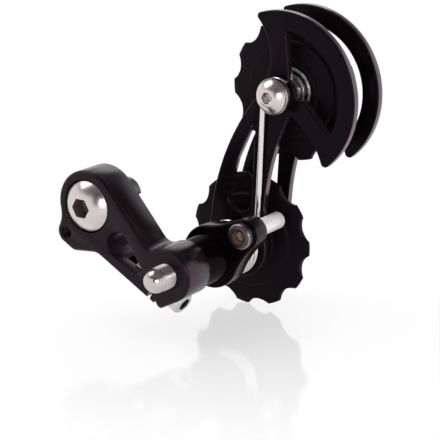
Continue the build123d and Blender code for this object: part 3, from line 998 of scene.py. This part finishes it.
@dataclass
class Bracket(SubAssembly):
    """Arm that is bolted to the hanger and clamps the shaft.

    Attributes:
        pocket_wide: Wide end of the pocket.
        pocket_tip: Narrow end of the pocket.
        pocket_spare_mm: How far outside that outline a face still counts as the pocket's wall.
        bolt_thread: Thread of the hanger bolt.
        bolt_cut_mm: Where the bolt's plain end is cut off along Y.
        bolt_core_mm: Radius of the bolt under its thread.
        bolt_core_facets: Facets round that core.
        bolt_end_mm: Where the bolt ends along Y.
        bolt_lead_mm: Width of the lead-in at that end.
        bolt_socket_mm: Radius that the bolt's socket lies within.
        bolt_top_mm: Where the bolt's flat top lies along Y.
        screw_socket_mm: Radius that the pinch screw's socket lies within.
        screw_across_mm: How far the pinch screw's axis lies below the arm's middle line.
        screw_end_mm: How far the flat of the pinch screw's head lies beyond the shaft's axis.
        screw_depth_mm: Where the pinch screw's axis lies along Y.
        limit_thread: Thread in the hole for the limit screw.
    """

    body: str = "bracket"
    pocket_wide: PocketEnd = PocketEnd(along_mm=-19.6, across_mm=-3.5, radius_mm=4.5)
    pocket_tip: PocketEnd = PocketEnd(along_mm=-9.9, across_mm=-5.6, radius_mm=1.8)
    pocket_spare_mm: float = 0.3
    bolt_thread: Thread = Thread(
        "hanger_bolt_thread", base_mm=4.35, crest_mm=5.0, pitch_mm=1.0, turns=8, start_mm=0.3
    )
    bolt_cut_mm: float = 0.15
    bolt_core_mm: float = 4.42
    bolt_core_facets: int = 48
    bolt_end_mm: float = 8.9
    bolt_lead_mm: float = 0.5
    bolt_socket_mm: float = 3.6
    bolt_top_mm: float = -16.0
    screw_socket_mm: float = 2.4
    screw_across_mm: float = 8.25
    screw_end_mm: float = 7.3
    screw_depth_mm: float = -6.7
    limit_thread: Thread = Thread(
        "limit_screw_thread", base_mm=2.04, crest_mm=1.7, pitch_mm=0.7, turns=15, start_mm=-12.6, steps=24
    )

    def build(self) -> None:
        """Make and dress the pieces."""
        self.arm()
        self.hanger_bolt()
        self.limit_hole()
        self.pinch_screw()

    def arm(self) -> None:
        """Dress the arm, with milled flanks and walls in its pocket painted paler as painted light."""
        piece = self.softened("bracket_arm", BLACK_ANODISED, Slot.BLACK_ALLOY)
        dress_faces(piece, MILLED_ANODISED, self.is_flank)
        # The pocket's walls get painted light: a paler tone than the arm.
        dress_faces(piece, POCKET_LIT_ANODISED, lambda face: self.is_flank(face) and self.in_pocket(face.center))

    def arm_directions(self) -> tuple[Vector, Vector, float]:
        """Measure the arm's middle line, from the hanger bolt to the shaft.

        Returns:
            The directions along and below the line, and its length.
        """
        shaft = Datum.SHAFT.point()
        reach = math.hypot(shaft.x, shaft.z)
        along = Vector((shaft.x, 0, shaft.z)) / reach
        return along, Vector((along.z, 0, -along.x)), reach

    def in_pocket(self, place: Vector) -> bool:
        """Say whether a place lies within the outline of the pocket.

        Args:
            place: A place on the arm.

        Returns:
            True within the outline and a little beyond it.
        """
        along, below, reach = self.arm_directions()
        spot = Vector((place.dot(along) - reach, -place.dot(below))) / MM
        wide = self.pocket_wide.middle()
        span = self.pocket_tip.middle() - wide
        share = min(max((spot - wide).dot(span) / span.length_squared, 0.0), 1.0)
        radius = self.pocket_wide.radius_mm + (self.pocket_tip.radius_mm - self.pocket_wide.radius_mm) * share
        return (spot - wide - span * share).length < radius + self.pocket_spare_mm

    def hanger_bolt(self) -> None:
        """Cut the plain end off the bolt and give it a core with a thread."""
        axis = Vector((0, 0, 0))
        finish = turned_about(BOLT_STEEL, "hanger_bolt", axis)
        bolt = self.softened("hanger_bolt", finish, Slot.POLISHED_STEEL)
        socket = Socket(along_y(axis, self.bolt_top_mm), FRONT, self.bolt_socket_mm)
        # The socket's walls get painted shade, a darker tone.
        dress_faces(bolt, SOCKET_SHADE_STEEL, socket.holds)
        with editing(bolt):
            bpy.ops.mesh.bisect(
                plane_co=along_y(axis, self.bolt_cut_mm),
                plane_no=(0, 1, 0),
                use_fill=True,
                clear_outer=True,
                threshold=WELD,
            )
        threaded_end = (self.bolt_thread.build(axis), self.bolt_core())
        for part in threaded_end:
            dress(part, THREAD_STEEL)
        select_only(bolt)
        for part in threaded_end:
            part.select_set(True)
        bpy.ops.object.join()

    def bolt_core(self) -> Object:
        """Turn the core that the thread lies on, with a lead-in at its end.

        Returns:
            The core.
        """
        length = self.bolt_end_mm * MM
        bpy.ops.object.select_all(action="DESELECT")
        bpy.ops.mesh.primitive_cylinder_add(
            vertices=self.bolt_core_facets,
            radius=self.bolt_core_mm * MM,
            depth=length,
            location=(0, length / 2, 0),
            rotation=(QUARTER, 0, 0),
        )
        core = bpy.context.object
        settle()
        self.break_edges(core, self.bolt_lead_mm)
        smooth(self.sharp_deg)
        return core

    def limit_hole(self) -> None:
        """Cut the thread of the limit screw's hole as a ridge on its wall."""
        ridge = self.limit_thread.build(Datum.LIMIT_SCREW.point())
        dress(ridge, BLACK_ANODISED)
        self.carry(ridge, Slot.BLACK_ALLOY)

    def pinch_screw(self) -> None:
        """Dress the screw that closes the clamp, which lies along the arm."""
        screw = self.softened("pinch_screw", SCREW_STEEL, Slot.POLISHED_STEEL)
        along, below, reach = self.arm_directions()
        mouth = along * (reach + self.screw_end_mm * MM) + below * self.screw_across_mm * MM
        mouth.y = self.screw_depth_mm * MM
        # The pinch screw's socket gets painted shade, almost black.
        dress_faces(screw, SOCKET_DEEP_SHADE, Socket(mouth, along, self.screw_socket_mm).holds)


@dataclass
class Shaft(SubAssembly):
    """Round shaft with its end fixing and spacers.

    Attributes:
        ball_mm: Where the round end of the shaft starts along Y.
    """

    body: str = "shaft"
    ball_mm: float = -17.9

    def build(self) -> None:
        """Make and dress the pieces; the shaft's round end is polished."""
        shaft = self.softened("pivot_shaft", SHAFT_STEEL, Slot.POLISHED_STEEL)
        dress_faces(shaft, MIRROR_STEEL, lambda face: face.center.y < self.ball_mm * MM)
        self.softened("rear_screw", BLACKENED_STEEL, Slot.DARK_STEEL)
        for node in ("rear_washer", "lower_front_spacer", "lower_rear_spacer"):
            self.softened(node, TURNED_STEEL, Slot.PLAIN_STEEL)
        steel = turned_about(BEARING_STEEL, Wheel.LOWER.value, Datum.SHAFT.point())
        self.finished("lower_bearing_inner_race", steel)


@dataclass
class StopArm(SubAssembly):
    """Arm with the stop post, and the spring round the shaft.

    Attributes:
        hub_end_mm: Where the hub ends along Y.
        post_highlight_rim_mm: Width of the post bolt's rim that carries the painted highlight.
        post_socket_mm: Radius that the post bolt's socket lies within.
        rim_tilt: Least and greatest share of Y in the normal of that rim.
        wire_mm: Radius of the spring wire.
        wire_facets: Facets round the wire.
        wire_spare: Distance from the wire's middle that still counts as its section, in radii.
        coil_mm: Radius of the coil's middle line.
        coil_start_deg: Angle in X and Z where the coil starts.
        coil_start_mm: Where the coil starts along Y.
        coil_end_mm: Where the coil ends along Y.
        coil_turns: Whole turns of the coil before it points at the upper bolt.
        coil_step_deg: Turn of one facet of the coil.
        hook_mm: Radius of the hook's middle line.
        hook_end_deg: Angle in X and Z where the hook ends.
        hook_steps: Facets along the hook.
        hook_tail_mm: Straight end of the hook.
        tang_bend_mm: Radius of the bend into the stop arm.
        tang_steps: Facets along that bend.
        tang_end_mm: Where the tang ends along Y.
    """

    body: str = "stop_arm"
    hub_end_mm: float = 9.8
    post_highlight_rim_mm: float = 0.24
    post_socket_mm: float = 2.2
    rim_tilt: tuple[float, float] = (0.2, 0.9)
    wire_mm: float = 0.95
    wire_facets: int = 16
    wire_spare: float = 1.01
    coil_mm: float = 8.6
    coil_start_deg: float = 36.5
    coil_start_mm: float = 18.15
    coil_end_mm: float = 24.2
    coil_turns: int = 2
    coil_step_deg: float = 8.0
    hook_mm: float = 4.98
    hook_end_deg: float = 72.0
    hook_steps: int = 16
    hook_tail_mm: float = 2.0
    tang_bend_mm: float = 1.4
    tang_steps: int = 8
    tang_end_mm: float = 13.3

    def build(self) -> None:
        """Make and dress the pieces."""
        self.arm()
        # The stop post's near-white tone is a painted reflection of the lamps.
        self.softened("stop_post", POST_WHITE_SHEEN, Slot.POLISHED_STEEL)
        self.post_bolt()
        self.finished("spring_sleeve", NYLON)
        self.spring()

    def arm(self) -> None:
        """Dress the arm, with a painted sheen on its flanks; its round hub is as dark as its faces."""
        piece = self.softened("stop_arm", GLOSS_ANODISED, Slot.GLOSS_ALLOY)
        hub_end = self.hub_end_mm * MM
        # Flanks beyond the hub get a paler tone, a painted sheen.
        dress_faces(piece, GLOSS_FLANK_SHEEN, lambda face: self.is_flank(face) and face.center.y >= hub_end)

    def post_bolt(self) -> None:
        """Dress the dark bolt, with painted glints in its socket and a painted highlight on the rim of its head.
        """
        bolt = self.softened("stop_post_bolt", BLACKENED_STEEL, Slot.DARK_STEEL, self.post_highlight_rim_mm)
        low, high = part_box("stop_post_bolt")
        axis = (low + high) / 2
        socket = Socket(Vector((axis.x, low.y, axis.z)), FRONT, self.post_socket_mm)
        # The socket gets painted glints, a pale warm tone.
        dress_faces(bolt, SOCKET_WARM_GLINT, socket.holds)
        rim = (high.x - low.x) / 2 - self.post_highlight_rim_mm * MM
        least, greatest = self.rim_tilt
        # The rim gets a painted highlight, a bright steel tone.
        dress_faces(
            bolt,
            RIM_PAINTED_HIGHLIGHT,
            lambda face: least < -face.normal.y < greatest and off_axis(face.center, axis) > rim,
        )

    def spring(self) -> None:
        """Wind the coil, then draw out its hook and its tang."""
        shaft = Datum.SHAFT.point()
        upper = Datum.UPPER_WHEEL.point()
        span = upper - shaft
        distance = math.hypot(span.x, span.z)
        offset = (self.coil_mm + self.hook_mm) * MM
        leg = math.sqrt(distance**2 - offset**2)
        leg_angle = math.atan2(span.z, span.x) + math.asin(offset / distance)
        start_angle = math.radians(self.coil_start_deg)
        turn = self.coil_turns * math.tau + leg_angle + 3 * QUARTER - start_angle
        piece = self.coil(shaft, turn, start_angle)
        self.hook(piece, shaft, upper, leg_angle, leg)
        self.tang(piece, shaft, start_angle)
        with editing(piece):
            bpy.ops.mesh.remove_doubles(threshold=WELD)
            bpy.ops.mesh.normals_make_consistent(inside=False)
        smooth(self.sharp_deg)
        dress(piece, SPRING_WIRE)
        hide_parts("torsion_spring")
        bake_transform(piece)
        self.pieces.append(piece.name)

    def coil(self, shaft: Vector, turn: float, start_angle: float) -> Object:
        """Wind the round section about the shaft.

        Args:
            shaft: Point on the shaft's axis.
            turn: Whole turn of the coil.
            start_angle: Angle in X and Z where it starts.

        Returns:
            The open coil.
        """
        bpy.ops.object.select_all(action="DESELECT")
        bpy.ops.mesh.primitive_circle_add(
            vertices=self.wire_facets, radius=self.wire_mm * MM, location=(self.coil_mm * MM, 0, 0)
        )
        piece = bpy.context.object
        piece.name = "torsion_spring_wound"
        settle()
        rise = (self.coil_end_mm - self.coil_start_mm) * MM
        wind(piece, -turn, rise, round(math.degrees(turn) / self.coil_step_deg))
        piece.rotation_euler = (0, -start_angle, 0)
        piece.location = along_y(shaft, self.coil_start_mm)
        settle()
        return piece

    def hook(self, piece: Object, shaft: Vector, upper: Vector, leg_angle: float, leg: float) -> None:
        """Draw the long leg out to the upper bolt and hook it over.

        Args:
            piece: The coil.
            shaft: Point on the shaft's axis.
            upper: Point on the upper bolt's axis.
            leg_angle: Angle of the leg in X and Z.
            leg: Length of the leg.
        """
        ring = along_y(shaft, self.coil_end_mm) + heading(leg_angle - QUARTER) * self.coil_mm * MM
        end_angle = math.radians(self.hook_end_deg)
        tail = heading(end_angle - QUARTER) * self.hook_tail_mm * MM
        with editing(piece, lambda place: self.on_ring(place, ring)):
            bpy.ops.mesh.extrude_region_move(TRANSFORM_OT_translate={"value": heading(leg_angle) * leg})
            bpy.ops.mesh.spin(
                steps=self.hook_steps,
                angle=end_angle - leg_angle - QUARTER,
                center=along_y(upper, self.coil_end_mm),
                axis=(0, 1, 0),
            )
            bpy.ops.mesh.extrude_region_move(TRANSFORM_OT_translate={"value": tail})
            bpy.ops.mesh.edge_face_add()

    def tang(self, piece: Object, shaft: Vector, start_angle: float) -> None:
        """Bend the other end of the wire down into the stop arm.

        Args:
            piece: The coil.
            shaft: Point on the shaft's axis.
            start_angle: Angle in X and Z where the coil starts.
        """
        out = heading(start_angle)
        ring = along_y(shaft, self.coil_start_mm) + out * self.coil_mm * MM
        pivot = ring - Vector((0, self.tang_bend_mm * MM, 0))
        drop = self.tang_end_mm * MM - pivot.y
        with editing(piece, lambda place: self.on_ring(place, ring)):
            bpy.ops.mesh.spin(steps=self.tang_steps, angle=QUARTER, center=pivot, axis=out)
            bpy.ops.mesh.extrude_region_move(TRANSFORM_OT_translate={"value": (0, drop, 0)})
            bpy.ops.mesh.edge_face_add()

    def on_ring(self, place: Vector, middle: Vector) -> bool:
        """Say whether a place is on the section of the wire round a middle."""
        return (place - middle).length < self.wire_mm * self.wire_spare * MM


@dataclass
class Cage(SubAssembly):
    """Two plates that swing on the shaft and hold the upper wheel.

    Attributes:
        bolt_edge_mm: Width of the upper bolt's broken edges.
        line_mm: Where the line turned round the upper bolt's head lies along Y, from the top of the head.
        line_width_mm: Width of that line.
        line_depth: Depth of that line as a share of the head's radius there.
        line_floor: Share of that line's width that counts as its floor.
        head_mm: Radius outside which the head lies clear of its socket.
    """

    body: str = "cage"
    bolt_edge_mm: float = 0.3
    line_mm: float = 2.45
    line_width_mm: float = 0.5
    line_depth: float = 0.05
    line_floor: float = 0.25
    head_mm: float = 3.0

    def build(self) -> None:
        """Make and dress the pieces."""
        for node in ("cage_front_plate", "cage_rear_plate"):
            plate = self.softened(node, PLATE_ANODISED, Slot.BLACK_ALLOY)
            # Flanks of the plates get a paler tone, a painted sheen along the rims.
            dress_faces(plate, PLATE_RIM_SHEEN, self.is_flank)
        for node in ("front_bush", "rear_bush"):
            self.softened(node, BRONZE, Slot.BRONZE)
        for node in ("upper_front_spacer", "upper_rear_spacer"):
            self.softened(node, TURNED_STEEL, Slot.PLAIN_STEEL)
        self.upper_bolt()
        steel = turned_about(BEARING_STEEL, Wheel.UPPER.value, Datum.UPPER_WHEEL.point())
        self.finished("upper_bearing_inner_race", steel)

    def upper_bolt(self) -> None:
        """Dress the upper bolt and turn a fine line round its head, with painted shade in the line."""
        axis = Datum.UPPER_WHEEL.point()
        finish = turned_about(BOLT_STEEL, "upper_bolt", axis)
        bolt = self.softened("upper_pulley_bolt", finish, Slot.POLISHED_STEEL, self.bolt_edge_mm)
        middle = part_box("upper_pulley_bolt")[0].y + self.line_mm * MM
        half = self.line_width_mm / 2 * MM
        floor = half * self.line_floor
        head = self.head_mm * MM
        with editing(bolt):
            for place in (middle - half, middle, middle + half):
                bpy.ops.mesh.select_all(action="SELECT")
                bpy.ops.mesh.bisect(plane_co=(0, place, 0), plane_no=(0, 1, 0), threshold=WELD)
        inwards = 1 - self.line_depth
        with editing(bolt, lambda place: abs(place.y - middle) < floor and off_axis(place, axis) > head):
            bpy.ops.transform.resize(
                value=(inwards, 1.0, inwards), center_override=(axis.x, middle, axis.z)
            )
        smooth(self.sharp_deg)
        # The line's faces get painted shade, the darker socket tone.
        dress_faces(
            bolt,
            SOCKET_SHADE_STEEL,
            lambda face: abs(face.center.y - middle) < half and off_axis(face.center, axis) > head,
        )


@dataclass
class Pulley(SubAssembly):
    """Toothed wheel on its ball bearing.

    Attributes:
        wheel: Which of the two wheels it is.
        axle: The axis that it turns on.
    """

    wheel: Wheel = Wheel.UPPER
    axle: Datum = Datum.UPPER_WHEEL

    def build(self) -> None:
        """Make and dress the pieces."""
        name = self.wheel.value
        axis = self.axle.point()
        steel = turned_about(BEARING_STEEL, name, axis)
        self.softened(f"{name}_pulley", WHEEL_ANODISED, Slot.PULLEY_ALLOY)
        self.finished(f"{name}_bearing_outer_race", steel)
        self.softened(f"{name}_bearing_balls", steel, Slot.BEARING_STEEL)
        self.finished(f"{name}_bearing_shields", turned_about(SEAL_RUBBER, name, axis))


def main() -> None:
    """Build the studio and the sub-assemblies in order, and report each piece."""
    logging.basicConfig(level=logging.INFO, format="%(name)s: %(message)s")
    bpy.context.scene.view_settings.view_transform = "Standard"
    Studio().build()
    assemblies = (
        Bracket(),
        Shaft(),
        StopArm(),
        Cage(),
        Pulley("upper_pulley", wheel=Wheel.UPPER, axle=Datum.UPPER_WHEEL),
        Pulley("lower_pulley", wheel=Wheel.LOWER, axle=Datum.SHAFT),
    )
    for assembly in assemblies:
        assembly.build()
        for piece in assembly.pieces:
            log.info("%s carries %s", assembly.body, piece)


if __name__ == "__main__":
    main()
